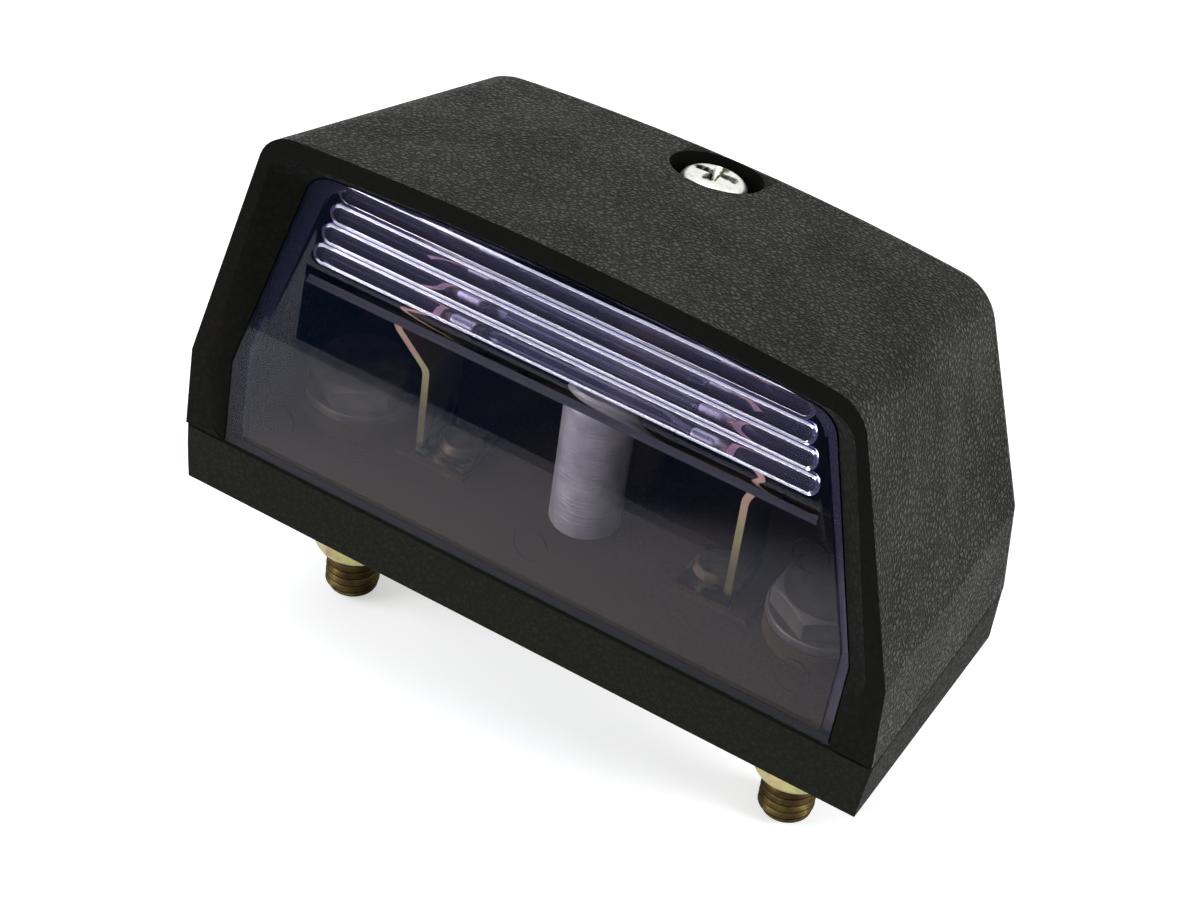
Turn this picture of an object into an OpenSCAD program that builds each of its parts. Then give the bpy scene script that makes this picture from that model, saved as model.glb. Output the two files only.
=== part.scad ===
// Number plate lamp: an arched hood over a low base, a ribbed lens set back in a
// bevelled window and two fixing studs below. Millimetres.
// The origin is on the underside of the base, midway between the two studs.
// The window faces -Y and Z points up, away from the panel the lamp stands on.

/* [Base] */
// Length of the base at the front of the seam
base_length = 80; // [78:0.5:84]
// Depth of the base from its front face to its back face
base_depth = 32; // [31:0.5:34]
// Height of the base from its underside to the deck
base_height = 6.8; // [6.4:0.1:8]
// How far each end leans in from the deck down to the underside
base_end_lean = 0.5; // [0.1:0.1:1]
// How much nearer to the middle each end is at the back than at the front
base_back_inset = 0.4; // [0.1:0.1:1]
// Radius of the two front corners of the base
base_front_corner = 0.5; // [0.3:0.1:1.5]
// Thickness of the wall round the hollow underside
base_wall = 2.4; // [2:0.1:3]
// Thickness of the deck
deck_thickness = 2.4; // [2:0.1:2.8]
// Thickness of the ribs across the hollow underside
rib_thickness = 1.6; // [1:0.1:2.4]
// How far those ribs stop short of the underside
rib_relief = 1; // [0.5:0.1:2]
// Radius of the round boss at each stud
boss_radius = 6.5; // [5.5:0.1:7.5]

/* [Seal] */
// Width of the seal ring
seal_width = 1.6; // [1:0.1:1.8]
// Distance of the seal ring from the edge of the base
seal_inset = 0.5; // [0.3:0.1:0.7]
// Depth of the groove that holds the ring
seal_groove = 1; // [0.6:0.1:1.2]
// How far the ring stands above the deck, which is the gap at the seam
seal_stand = 0.3; // [0.2:0.05:0.5]

/* [Studs and nuts] */
// Distance of each stud axis from the end of the base
stud_inset = 12.5; // [12:0.1:13.5]
// Distance of the stud line from the front face
stud_set_back = 14.5; // [14:0.5:16]
// Thread diameter of the studs
stud_diameter = 6; // [5:0.5:6]
// How far the studs reach below the underside
stud_drop = 19.6; // [17:0.1:25]
// Chamfer on the stud ends
stud_chamfer = 0.8; // [0.4:0.1:1]
// How much wider the plain neck in the base is than the thread, on its radius
stud_neck = 0.2; // [0.2:0.05:0.4]
// How far the thread is drawn in where the nut runs on it, down to its flanks
thread_mesh = 0.3; // [0.25:0.05:0.4]
// Play between stud and base all round
stud_play = 0.2; // [0.1:0.05:0.4]
// Width of the stud heads and nuts across flats
hex_width = 10; // [9:0.5:10]
// Height of the round bosses that carry the stud heads above the deck
boss_rise = 2.2; // [1:0.1:3]
// Height of the stud heads
head_height = 2.6; // [2:0.1:4]
// Bevel on the top corners of the stud heads and nuts
hex_bevel = 0.6; // [0.3:0.1:1]
// Outside diameter of the washers
washer_diameter = 12; // [11:0.5:12]
// Thickness of the washers
washer_thickness = 1.2; // [1:0.1:2]
// Distance of the lower end of each nut below the underside
nut_bottom = 13.4; // [12:0.1:16]
// Overall height of a nut with its collar
nut_height = 6; // [5.5:0.1:7]
// Height of the round collar below the six flats
nut_collar = 2.2; // [2:0.1:2.4]
// Radius of the collar next to the flats
collar_radius = 4.5; // [4.3:0.1:4.8]
// Play between a thread and the piece that runs on it
thread_play = 0.05; // [0.02:0.01:0.1]
// Wall of the collar outside the locking ring
collar_wall = 0.6; // [0.4:0.1:0.8]
// Height of the locking ring in the collar
nut_ring_height = 1.3; // [1:0.1:1.4]
// Height of the lip that keeps the ring in
nut_lip = 0.4; // [0.3:0.1:0.4]

/* [Hood] */
// Height at which the sides of the hood bend inwards
hood_kink_z = 17.1; // [16:0.1:19]
// How far each side comes in up to that bend at the front
hood_kink_inset = 0.5; // [0.2:0.1:1]
// How far each side comes in up to the bend at the back
hood_kink_inset_back = 1.2; // [0.5:0.1:1.5]
// Height of the upper corners of the front face
hood_top_z = 47.4; // [47:0.2:50]
// How far those front corners stand in from the ends of the base
hood_top_inset = 8.5; // [8:0.1:9]
// How far the upper back corners stand in from the ends of the base
hood_top_inset_back = 10.8; // [10:0.1:12]
// Rise of the arched top between its corners
hood_crown = 1.4; // [1:0.1:2]
// Slope of the top down to the back and lean of the back wall
hood_tilt = 16.2; // [15:0.1:17]
// How far the back wall comes out between seam and bend
hood_kink_out = 0.4; // [0.1:0.1:0.8]
// Radius of the upper front corners
hood_corner_front = 4.4; // [3.6:0.1:5]
// Radius of the upper back corners
hood_corner_back = 5.7; // [5:0.1:6.5]
// Rounding of the back edge
hood_back_edge = 2.1; // [1.6:0.1:2.4]
// Wall thickness of the hood
hood_wall = 2.2; // [1.8:0.1:2.4]

/* [Window] */
// Width of the flat rim beside the window below the bend
rim_width = 2.6; // [2.2:0.1:3]
// How far the rim comes in at the upper front corners
rim_corner_inset = 0.6; // [0.4:0.1:1.2]
// Height of the rim above the window at the corners
rim_top = 2.2; // [2:0.1:2.6]
// Corner radius of the inner edge of the rim
rim_corner = 3.5; // [3:0.1:4]
// Height above the deck where the inner edge of the rim would meet the middle
rim_foot = -0.1; // [-0.5:0.1:0]
// Width of the bevel beside the lens below the bend
bevel_side = 2.1; // [1.8:0.1:2.4]
// Width of the bevel at the upper corners, sideways
bevel_corner = 2.7; // [2.4:0.1:3]
// Height of the bevel above the lens
bevel_top = 2.5; // [2.2:0.1:2.8]
// Corner radius of the lens opening
opening_corner = 3; // [2.5:0.1:3.5]
// Set-back of the lens behind the rim at the deck
lens_set_back = 0.2; // [0.1:0.05:0.5]
// Backward lean of the lens
lens_lean = 4.3; // [3.5:0.1:5]
// Thickness of the front wall of the hood at the lens
window_wall = 1.6; // [1.4:0.1:1.8]

/* [Lens] */
// Gap between lens and opening
lens_gap = 0.15; // [0.1:0.05:0.25]
// Thickness of the flat lower pane
pane_thickness = 1.8; // [1.6:0.1:2.2]
// Thickness of the flange behind the front wall
flange_thickness = 1.2; // [1:0.1:1.4]
// Overlap of the flange at the sides
flange_side = 1.3; // [1:0.1:1.4]
// Overlap of the flange at the top
flange_top = 0.5; // [0.3:0.1:0.6]
// Width of the raised edge behind the lens
skirt_thickness = 1.4; // [1.2:0.1:1.8]
// Depth of the lens with that edge
skirt_depth = 2.8; // [2.8:0.1:5.4]
// Height of the step where the plain pane ends
step_z = 29.7; // [29:0.1:29.9]
// Depth of that step on the inner face
step_depth = 0.9; // [0.5:0.1:1.2]
// Height over which the step runs out
step_height = 2.2; // [2:0.1:2.4]
// Number of round ribs above the step
rib_count = 4; // [3:1:4]
// Distance from rib to rib
rib_pitch = 2.55; // [2.5:0.05:2.7]
// Height of the lowest rib
rib_z = 33.6; // [33.2:0.1:34.2]
// Radius of a rib
rib_radius = 1.2; // [1.1:0.05:1.25]
// How far the lowest rib ends inside the upper corners of the opening
rib_end_gap = 0.4; // [0.3:0.1:2]
// How much each rib is shorter at its ends than the one below
rib_shortening = 0.7; // [0.5:0.05:0.8]
// Radius of the four ejector marks on the pane
mark_radius = 1.9; // [1.5:0.1:2.2]
// Depth of these marks
mark_depth = 0.12; // [0.08:0.02:0.2]
// Height of the three lower marks
mark_z = 12.1; // [11:0.1:14]
// Distance of the two outer ones from the sides of the opening
mark_inset = 5.6; // [5:0.1:8]
// Height of the single upper mark
upper_mark_z = 26.2; // [24:0.1:27]
// Distance of the upper mark from the side of the opening
upper_mark_inset = 6.7; // [6.5:0.1:9]
// How far the middle mark is off the middle
middle_mark_x = 0.5; // [0:0.1:1]

/* [Cover screw] */
// Distance of the screw axis in front of the upper back edge
screw_inset = 5.9; // [5.8:0.1:6.5]
// Radius of the recess for the screw head
recess_radius = 4.9; // [4.5:0.1:5]
// Depth of this recess
recess_depth = 3; // [2.8:0.1:3.4]
// Wall of the cup round the recess
cup_wall = 1.6; // [1.2:0.1:2]
// Thread diameter of the cover screw
screw_diameter = 3.5; // [3:0.5:3.5]
// Radius of the screw head
screw_head_radius = 3.5; // [3.2:0.1:3.8]
// Height of the screw head
screw_head_height = 2.5; // [2:0.1:2.6]
// Length of the screw below its head
screw_length = 10; // [8:0.5:11]
// Turn of the cross recess about the screw axis
cross_turn = 10; // [0:5:45]
// Radius of the pillar that takes the screw
pillar_radius = 3.6; // [3.4:0.05:3.7]
// Radius of the threaded insert
insert_radius = 2.4; // [2.2:0.05:2.5]
// Length of the threaded insert
insert_length = 7; // [5:0.5:8]
// How far the insert sits below the top of the pillar
insert_set = 0.3; // [0.1:0.1:0.6]
// How far the web in front of the pillar reaches along the deck
web_foot = 6; // [4:0.5:8]
// Height of that web
web_height = 12; // [8:0.5:16]

/* [Contacts and bulb] */
// Height of the bulb axis above the underside
bulb_z = 30; // [29:0.1:31]
// Distance of each contact strip from the stud beside it
contact_to_stud = 9.3; // [9.2:0.1:9.6]
// How far the strips stand further in where they hold the bulb
contact_step_in = 1.7; // [1.5:0.1:2]
// How far the tips of the bulb stand out through the strips
bulb_tip = 1.1; // [0.9:0.1:1.2]
// Radius of the bulb glass
glass_radius = 5.2; // [4.8:0.1:5.4]
// Wall of the bulb glass
glass_wall = 0.5; // [0.4:0.05:0.6]
// Radius of the two necks of the glass
neck_radius = 3.3; // [3:0.1:3.4]
// Length of the necks in the caps
neck_length = 1.8; // [1.2:0.1:2.2]
// Radius of the metal caps
cap_radius = 3.9; // [3.8:0.1:4]
// Length of the metal caps
cap_length = 5.8; // [5.6:0.1:6.4]
// Length of their conical ends
cone_run = 3.2; // [3:0.1:3.4]
// Radius of their flat tips
tip_radius = 0.9; // [0.7:0.1:1]
// Thickness of the solid end of the caps
cap_end = 3; // [2.8:0.1:3]
// Radius of the filament wire
wire_radius = 0.3; // [0.2:0.05:0.4]
// Radius of the coiled part
coil_radius = 0.7; // [0.5:0.1:0.9]
// Length of the coiled part
coil_length = 8; // [6:0.5:10]
// Height of the seat pads under the contact feet
pad_height = 0.5; // [0.3:0.1:0.8]
// Length of the seat pads
pad_length = 8.4; // [8:0.1:8.6]
// How much the pads are wider than the strips on either side
pad_border = 0.6; // [0.2:0.1:1]
// Width of the contact strips
contact_width = 6.6; // [6:0.1:7]
// Thickness of the contact strips
contact_thickness = 0.8; // [0.6:0.1:0.9]
// Height at which the left strip bends outwards
left_bend_z = 18.5; // [17:0.1:19.5]
// How far the left strip bulges outwards
left_bulge = 3.8; // [1.5:0.1:4.2]
// Height at which the right strip bends outwards
right_bend_z = 21.5; // [20:0.1:22]
// How far the right strip bulges outwards
right_bulge = 1.1; // [0.8:0.1:1.6]
// Least height of the slope of the bulge
bulge_run = 2.4; // [2:0.1:2.6]
// Height of the straight part of the bulge
bulge_flat = 1.2; // [0.8:0.1:1.4]
// Half height of the straight part of the strips beside the bulb
hold_half = 2.6; // [2.4:0.1:2.8]
// How far the upper ends of the strips flare out
flare_out = 1.8; // [1:0.1:2.2]
// Height of that flare
flare_up = 2.4; // [1.8:0.1:2.8]
// Distance of each rivet from its strip
rivet_to_strip = 3; // [2.8:0.1:3.2]
// How far the feet run on past the rivet axes
foot_overrun = 2.6; // [2.4:0.1:2.8]
// Radius of the rivet shanks
rivet_radius = 1.5; // [1.2:0.1:1.6]
// How much the rivet heads are wider than the shanks
rivet_lip = 0.9; // [0.6:0.1:1]
// Height of the rivet heads
rivet_head = 1; // [0.6:0.1:1.2]
// Width of the terminal blades
terminal_width = 6.3; // [4.8:0.1:6.3]
// How far the blades run on in front of the rivets
terminal_front = 3.2; // [2.8:0.1:4]
// Distance from the rivets to the bend in the blades
terminal_bend = 3.6; // [3:0.1:4]
// How far the bend takes the blades down
terminal_drop = 1.6; // [1:0.1:1.8]
// Gap between the blades and the back wall of the base
terminal_gap = 2.5; // [1.5:0.1:4]
// Diameter of the round post under the bulb
post_diameter = 7.4; // [6:0.1:8]
// Height of the top of that post above the underside
post_z = 23.5; // [22:0.1:23.6]

/* [Hidden] */
$fn = 64;
cut = 1;
arc_steps = 7;
crown_steps = 6;
half_length = base_length / 2;
half_back = half_length - base_back_inset;
seam_z = base_height + seal_stand;
stud_x = half_length - stud_inset;
stud_radius = stud_diameter / 2;
stud_neck_radius = stud_radius + stud_neck;
head_seat_z = base_height + boss_rise;
mesh_radius = stud_radius - thread_mesh;
nut_bore = mesh_radius + thread_play;
nut_top = nut_bottom - nut_height;
hex_corner = hex_width / sqrt(3);
slope = tan(hood_tilt);
kink_depth = base_depth + hood_kink_out;
hood_back_z = (hood_top_z - kink_depth * slope + hood_kink_z * slope * slope) / (1 + slope * slope);
hood_run = (kink_depth + (hood_back_z - hood_kink_z) * slope) / cos(hood_tilt);
hood_rise = hood_top_z + hood_crown;
rim_x = half_length - rim_width;
rim_top_x = half_length - hood_top_inset - rim_corner_inset;
rim_top_z = hood_top_z - rim_top;
opening_x = rim_x - bevel_side;
opening_top_x = rim_top_x - bevel_corner;
opening_top_z = rim_top_z - bevel_top;
screw_set_back = kink_depth + (hood_back_z - hood_kink_z) * slope - screw_inset;
screw_top_z = hood_rise - screw_set_back * slope;
pillar_top = recess_depth + deck_thickness;
pillar_foot = (screw_top_z - base_height + deck_thickness / 2) / cos(hood_tilt);
screw_radius = screw_diameter / 2;
foot_z = base_height + pad_height;
contact_x = stud_x - contact_to_stud;
rivet_x = contact_x - rivet_to_strip;
hold_x = contact_x - contact_step_in;
bulb_half = hold_x + contact_thickness / 2 + bulb_tip;
glass_half = bulb_half - cap_length;
cap_floor = bulb_half - cap_end;
hold_radius = tip_radius + (cap_radius - tip_radius) * (bulb_tip + contact_thickness) / cone_run + 0.1;
rib_half_length = opening_top_x - rib_end_gap;
nut_ring_low = nut_collar - nut_ring_height - nut_lip;

// Points of the arc of radius r that rounds the corner v between a and b
function corner_arc(a, v, b, r, steps = arc_steps) =
    let (u = (a - v) / norm(a - v))
    let (w = (b - v) / norm(b - v))
    let (half = acos(u * w) / 2)
    let (c = v + (u + w) / norm(u + w) * r / sin(half))
    let (p = v + u * r / tan(half) - c)
    let (q = v + w * r / tan(half) - c)
    let (from = atan2(p[1], p[0]))
    let (turn = atan2(p[0] * q[1] - p[1] * q[0], p * q))
    [for (i = [0:steps]) c + r * [cos(from + turn * i / steps), sin(from + turn * i / steps)]];

// Closed outline with each corner of the list rounded by its own radius
function rounded(points, radii) =
    let (n = len(points))
    [for (i = [0:n - 1]) each corner_arc(points[(i + n - 1) % n], points[i], points[(i + 1) % n], radii[i])];

// Arch in the X-Z plane from its right foot over the crown to its left foot.
// side is the list of points up the right flank, top the right upper corner.
function arch(side, top, r) =
    let (crown = [for (i = [crown_steps - 1:-1:1 - crown_steps])
        [top[0] * i / crown_steps, top[1] + hood_crown * (1 - pow(i / crown_steps, 2))]])
    let (right = concat(side, corner_arc(side[len(side) - 1], top, crown[0], r)))
    concat(right, crown, [for (i = [len(right) - 1:-1:0]) [-right[i][0], right[i][1]]]);

// Arch outline of the hood with its foot at the seam, moved in by e
function hood_arch(foot_x, kink_x, top_x, top_z, r, e) =
    let (angle = atan2(top_z - hood_kink_z, kink_x - top_x))
    arch([[foot_x - e, seam_z], [kink_x - e / sin(angle), hood_kink_z]],
        [top_x - e * tan(angle / 2), top_z - e], max(r - e, 1));

// Depth of the back wall behind the front face at height z
function back_depth(z) = z < hood_kink_z
    ? base_depth + hood_kink_out * (z - base_height) / (hood_kink_z - base_height)
    : kink_depth + (z - hood_kink_z) * slope;

// Cross-section of the hood at share t of the way to the back, moved in by e
function hood_ring(t, e) =
    let (f = hood_arch(half_length, half_length - hood_kink_inset, half_length - hood_top_inset,
        hood_top_z, hood_corner_front, e))
    let (b = hood_arch(half_back, half_back - hood_kink_inset_back, half_back - hood_top_inset_back,
        hood_back_z, hood_corner_back, e))
    [for (i = [0:len(f) - 1])
        [f[i][0], 0, f[i][1]] * (1 - t) + [b[i][0], back_depth(b[i][1]), b[i][1]] * t];

// Point x, u up and d behind the leaning outer face of the lens
function lens_point(x, u, d) =
    [x, lens_set_back + u * sin(lens_lean) + d * cos(lens_lean),
        base_height + u * cos(lens_lean) - d * sin(lens_lean)];

// Depth at height z of the plane d behind the outer face of the lens
function lens_depth(z, d) = lens_set_back + (z - base_height) * tan(lens_lean) + d / cos(lens_lean);

// Window outline above the deck from its half widths and corner values
function window_arch(x, low, low_r, top_x, top_z, r) =
    let (kink = hood_kink_z - base_height)
    arch(concat(corner_arc([0, low], [x, low], [x, kink], low_r, 3), [[x, kink]]),
        [top_x, top_z - base_height], r);

// Lens outline grown sideways by side and upwards by up
function lens_arch(side, up) =
    window_arch(opening_x + side, -2 * cut, 1, opening_top_x + side, opening_top_z + up, opening_corner);

// Both edges of a strip of thickness t bent along the points p
function ribbon_edge(p, t) =
    [for (i = [0:len(p) - 1])
        let (a = i > 0 ? p[i] - p[i - 1] : p[1] - p[0])
        let (b = i < len(p) - 1 ? p[i + 1] - p[i] : a)
        let (m = (a / norm(a) + b / norm(b)) / norm(a / norm(a) + b / norm(b)))
        p[i] + [-m[1], m[0]] * t / (m * a / norm(a))];

function ribbon(p, t) =
    let (back = ribbon_edge(p, -t / 2))
    concat(ribbon_edge(p, t / 2), [for (i = [len(p) - 1:-1:0]) back[i]]);

// Skin through cross-sections that each run from a right foot to a left foot
module loft(rings) {
    n = len(rings[0]);
    last = n * (len(rings) - 1);
    half = floor(n / 2);
    flank = [for (s = [0:len(rings) - 2]) for (i = [0:n - 1])
        let (a = s * n + i)
        let (b = s * n + (i + 1) % n)
        each [[a, b, b + n], [a, b + n, a + n]]];
    front = [for (i = [0:half - 2]) [n - 1 - i, n - 2 - i, i + 1, i]];
    back = [for (f = front) [last + f[3], last + f[2], last + f[1], last + f[0]]];
    peak = [[half + 1, half, half - 1], [last + half - 1, last + half, last + half + 1]];
    polyhedron([for (r = rings) each r], concat(flank, front, back, peak), convexity = 6);
}

// Moves from depths behind the front face to the shared frame
module from_front() {
    translate([0, -stud_set_back, 0])
        children();
}

// An X-Z outline made solid from one depth to the next
module slab(depth, thickness) {
    translate([0, depth + thickness, 0])
        rotate([90, 0, 0])
            linear_extrude(thickness)
                children();
}

// A Y-Z outline made solid from x to x + width
module cross_slab(x, width) {
    translate([x, 0, 0])
        rotate([90, 0, 90])
            linear_extrude(width)
                children();
}

// Frame of the leaning lens, its outer face at depth 0
module lens_frame() {
    from_front()
        translate([0, lens_set_back, base_height])
            rotate([-lens_lean, 0, 0])
                children();
}

// Frame of the cover screw, Z along its axis and 0 at the top of the hood
module screw_frame() {
    from_front()
        translate([0, screw_set_back, screw_top_z])
            rotate([-hood_tilt, 0, 0])
                children();
}

module base_plan(e) {
    r = hood_back_edge - min(e, hood_back_edge / 2);
    polygon(rounded([[-half_length + e, e], [half_length - e, e],
        [half_back - e, base_depth - e], [-half_back + e, base_depth - e]],
        [base_front_corner, base_front_corner, r, r]));
}

module seal_ring(low, high) {
    from_front()
        translate([0, 0, low])
            linear_extrude(high - low)
                difference() {
                    base_plan(seal_inset);
                    base_plan(seal_inset + seal_width);
                }
}

module base_block() {
    intersection() {
        from_front()
            linear_extrude(base_height)
                base_plan(0);
        from_front()
            slab(-cut, base_depth + 2 * cut)
                polygon([[base_end_lean - half_length, 0], [half_length - base_end_lean, 0],
                    [half_length, base_height], [-half_length, base_height]]);
    }
}

module underside_rib(x) {
    from_front()
        translate([x - rib_thickness / 2, base_wall / 2, rib_relief])
            cube([rib_thickness, base_depth - base_wall, base_height - deck_thickness]);
}

module contact_pad(side) {
    translate([side * (contact_x + rivet_x) / 2, 0, base_height])
        translate([-pad_length / 2, -contact_width / 2 - pad_border, -cut])
            cube([pad_length, contact_width + 2 * pad_border, pad_height + cut]);
}

module post() {
    translate([0, 0, base_height - cut])
        rotate_extrude()
            polygon([[0, 0], [post_diameter / 2, 0], [post_diameter / 2, post_z - base_height],
                [post_diameter / 2 - cut, post_z - base_height + cut], [0, post_z - base_height + cut]]);
}

module pillar() {
    screw_frame()
        translate([0, 0, -pillar_foot])
            cylinder(h = pillar_foot - pillar_top, r = pillar_radius);
    foot = screw_set_back - (screw_top_z - base_height) * slope;
    from_front()
        cross_slab(-rib_thickness / 2, rib_thickness)
            polygon([[foot - pillar_radius - web_foot, base_height], [foot, base_height - cut],
                [foot + web_height * slope, base_height + web_height]]);
}

module base_plate() {
    color([0.13, 0.13, 0.14])
        difference() {
            union() {
                difference() {
                    base_block();
                    from_front()
                        translate([0, 0, -cut])
                            linear_extrude(base_height - deck_thickness + cut)
                                base_plan(base_wall);
                }
                for (x = [-stud_x, stud_x]) {
                    translate([x, 0, 0])
                        cylinder(h = base_height - deck_thickness / 2, r = boss_radius);
                    translate([x, 0, base_height - deck_thickness])
                        cylinder(h = boss_rise + deck_thickness, r = washer_diameter / 2);
                }
                for (x = [-stud_x, 0, stud_x]) {
                    underside_rib(x);
                }
                for (side = [-1, 1]) {
                    contact_pad(side);
                }
                post();
                pillar();
            }
            seal_ring(base_height - seal_groove, base_height + cut);
            for (x = [-stud_x, stud_x]) {
                translate([x, 0, -cut])
                    cylinder(h = head_seat_z + 2 * cut, r = stud_neck_radius + stud_play);
            }
            for (x = [-rivet_x, rivet_x]) {
                translate([x, 0, 0])
                    cylinder(h = foot_z + cut, r = rivet_radius);
            }
            screw_frame()
                translate([0, 0, -recess_depth - screw_length - 2 * cut])
                    cylinder(h = screw_length, r = insert_radius);
        }
}

module hood_body() {
    rings = concat([for (t = [0:0.25:0.75]) hood_ring(t, 0)],
        [for (a = [0:22.5:90])
            hood_ring(1 - hood_back_edge * (1 - sin(a)) / hood_run, hood_back_edge * (1 - cos(a)))]);
    from_front()
        loft(rings);
}

// The same cross-section inside the wall, its feet straight below the bend
function cavity_ring(t) =
    let (r = hood_ring(t, hood_wall))
    let (last = len(r) - 1)
    let (kink = r[1])
    [for (i = [0:last]) i == 0 || i == last ? [r[i == 0 ? 1 : last - 1][0], kink[1], seam_z - cut] : r[i]];

// That cross-section set flat on the back of the front wall
function cavity_front() =
    let (flank = cavity_ring(0.25)[0] - cavity_ring(0)[0])
    [for (p = cavity_ring(lens_depth(hood_top_z / 2, window_wall) / hood_run))
        let (y = lens_depth(p[2], window_wall))
        let (x = abs(p[0]) + (p[2] > hood_kink_z ? 0 : (y - p[1]) * flank[0] / flank[1]))
        [p[0] < 0 ? -x : x, y, p[2]]];

module hood_cavity() {
    from_front()
        loft(concat([cavity_front()],
            [for (t = [0.25, 0.5, 0.75, 1 - hood_wall / hood_run]) cavity_ring(t)]));
}

// Bevel from the rim to the lens, and the opening behind it
module window() {
    rim = window_arch(rim_x, rim_foot, rim_corner, rim_top_x, rim_top_z, rim_corner);
    opening = lens_arch(0, 0);
    from_front()
        loft([[for (p = rim) [p[0], -cut, p[1] + base_height]],
            [for (p = rim) [p[0], 0, p[1] + base_height]],
            [for (p = opening) lens_point(p[0], p[1], 0)],
            [for (p = opening) lens_point(p[0], p[1], window_wall + cut)]]);
}

module cover() {
    color([0.1, 0.1, 0.11])
        difference() {
            hood_body();
            difference() {
                hood_cavity();
                screw_frame()
                    translate([0, 0, -pillar_top])
                        cylinder(h = pillar_top, r = recess_radius + cup_wall);
            }
            window();
            screw_frame()
                translate([0, 0, -recess_depth])
                    cylinder(h = recess_depth + cut, r = recess_radius);
            screw_frame()
                translate([0, 0, -pillar_top - cut])
                    cylinder(h = pillar_top, r = screw_radius + stud_play);
        }
}

module rib(i) {
    half = rib_half_length - rib_shortening * i - rib_radius;
    translate([0, pane_thickness, rib_z + rib_pitch * i - base_height]) {
        rotate([0, 90, 0])
            cylinder(h = 2 * half, r = rib_radius, center = true);
        for (x = [-half, half]) {
            translate([x, 0, 0])
                sphere(rib_radius);
        }
    }
}

module lens_step() {
    half = rib_half_length + rib_radius / 2;
    low = step_z - base_height;
    cross_slab(-half, 2 * half)
        polygon([[pane_thickness / 2, low], [pane_thickness + step_depth, low],
            [pane_thickness, low + step_height], [pane_thickness / 2, low + step_height]]);
}

module ejector_mark(x, z) {
    translate([x, pane_thickness - mark_depth, z - base_height])
        rotate([-90, 0, 0])
            cylinder(h = cut, r = mark_radius);
}

module lens() {
    color([0.82, 0.8, 0.9, 0.5])
        difference() {
            lens_frame()
                difference() {
                    union() {
                        slab(0, pane_thickness)
                            polygon(lens_arch(-lens_gap, -lens_gap));
                        slab(window_wall, flange_thickness)
                            polygon(lens_arch(flange_side, flange_top));
                        slab(0, skirt_depth)
                            polygon(lens_arch(-lens_gap, -lens_gap));
                    }
                    difference() {
                        slab(pane_thickness, skirt_depth)
                            polygon(lens_arch(-lens_gap - skirt_thickness, -lens_gap - skirt_thickness));
                        for (i = [0:rib_count - 1]) {
                            rib(i);
                        }
                        lens_step();
                    }
                    ejector_mark(mark_inset - opening_x, mark_z);
                    ejector_mark(middle_mark_x, mark_z);
                    ejector_mark(opening_x - mark_inset, mark_z);
                    ejector_mark(opening_x - upper_mark_inset, upper_mark_z);
                }
            translate([-base_length, -base_depth, -cut])
                cube([2 * base_length, 2 * base_depth, seam_z + cut]);
        }
}

module base_seal() {
    color([0.05, 0.05, 0.05])
        seal_ring(base_height - seal_groove, seam_z);
}

module cover_screw() {
    color([0.78, 0.78, 0.76])
        screw_frame()
            translate([0, 0, -recess_depth])
                difference() {
                    union() {
                        rotate_extrude()
                            polygon([[0, 0], [screw_head_radius, 0],
                                [screw_head_radius, screw_head_height * 0.4],
                                [screw_head_radius * 0.94, screw_head_height * 0.7],
                                [screw_head_radius * 0.76, screw_head_height * 0.93],
                                [screw_head_radius * 0.4, screw_head_height], [0, screw_head_height]]);
                        translate([0, 0, -screw_length])
                            cylinder(h = screw_length + cut, r = screw_radius);
                    }
                    for (turn = [cross_turn, cross_turn + 90]) {
                        rotate([0, 0, turn])
                            translate([-2.1, -0.45, screw_head_height * 0.5])
                                cube([4.2, 0.9, screw_head_height]);
                    }
                }
}

module screw_insert() {
    color([0.8, 0.62, 0.3])
        screw_frame()
            translate([0, 0, -pillar_top - insert_length - insert_set])
                difference() {
                    cylinder(h = insert_length, r = insert_radius);
                    translate([0, 0, -cut])
                        cylinder(h = insert_length + 2 * cut, r = screw_radius + thread_play);
                }
}

// Six-sided prism with a corner to the front and a bevelled upper end
module hex_prism(h) {
    intersection() {
        rotate([0, 0, 30])
            cylinder(h = h, r = hex_corner, $fn = 6);
        rotate_extrude()
            polygon([[0, 0], [hex_corner, 0], [hex_corner, h - hex_bevel],
                [hex_width / 2 - hex_bevel / 2, h], [0, h]]);
    }
}

module stud(side) {
    top = head_seat_z + washer_thickness;
    color([0.6, 0.5, 0.32])
        translate([side * stud_x, 0, 0])
            union() {
                translate([0, 0, top])
                    hex_prism(head_height);
                rotate_extrude()
                    polygon([[0, -stud_drop], [stud_radius - stud_chamfer, -stud_drop],
                        [stud_radius, stud_chamfer - stud_drop], [stud_radius, -nut_bottom - thread_play],
                        [mesh_radius, -nut_bottom - thread_play], [mesh_radius, thread_play - nut_top],
                        [stud_radius, thread_play - nut_top], [stud_radius, 0], [stud_neck_radius, 0],
                        [stud_neck_radius, top + cut], [0, top + cut]]);
            }
}

module stud_washer(side) {
    color([0.82, 0.76, 0.5])
        translate([side * stud_x, 0, head_seat_z])
            difference() {
                cylinder(h = washer_thickness, r = washer_diameter / 2);
                translate([0, 0, -cut])
                    cylinder(h = washer_thickness + 2 * cut, r = stud_neck_radius + stud_play);
            }
}

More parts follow.
